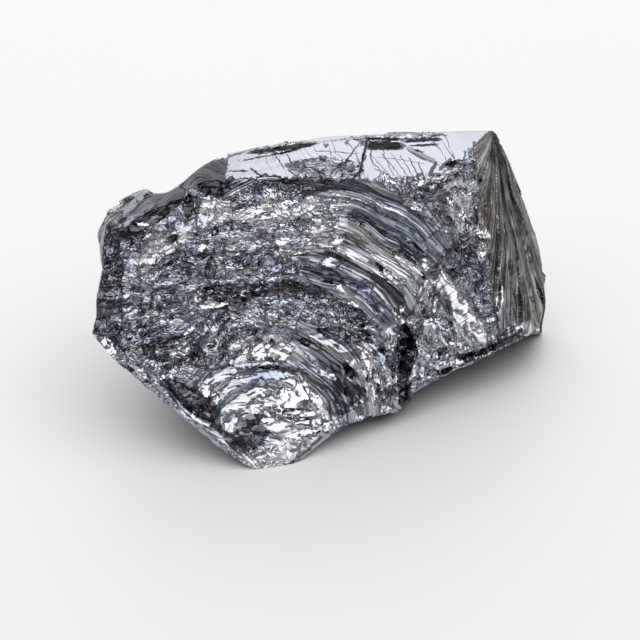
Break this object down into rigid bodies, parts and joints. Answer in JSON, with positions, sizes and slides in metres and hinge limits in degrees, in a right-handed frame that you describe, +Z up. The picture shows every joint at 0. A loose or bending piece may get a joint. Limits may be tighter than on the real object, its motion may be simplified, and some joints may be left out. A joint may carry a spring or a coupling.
{
  "type": "silicon metal lump",
  "caption": "Broken lump of silicon metal with conchoidal fracture, hackly flakes, columnar right end and bright cleavage facets.",
  "frame": {"origin": "middle of the lump's box, at the level of the flat facet that it rests on", "axes": "+Z up, -Y toward the side that the broad fracture face looks to, +X along the lump's length toward its columnar end"},
  "size_m": [0.0818, 0.0576, 0.0455],
  "materials": {
    "silicon": "freshly broken silicon metal: mirror-bright facets among dark grey, bluish and faintly brown fracture"
  },
  "bodies": {
    "root": {"silicon_lump": "silicon"}
  },
  "joints": []
}
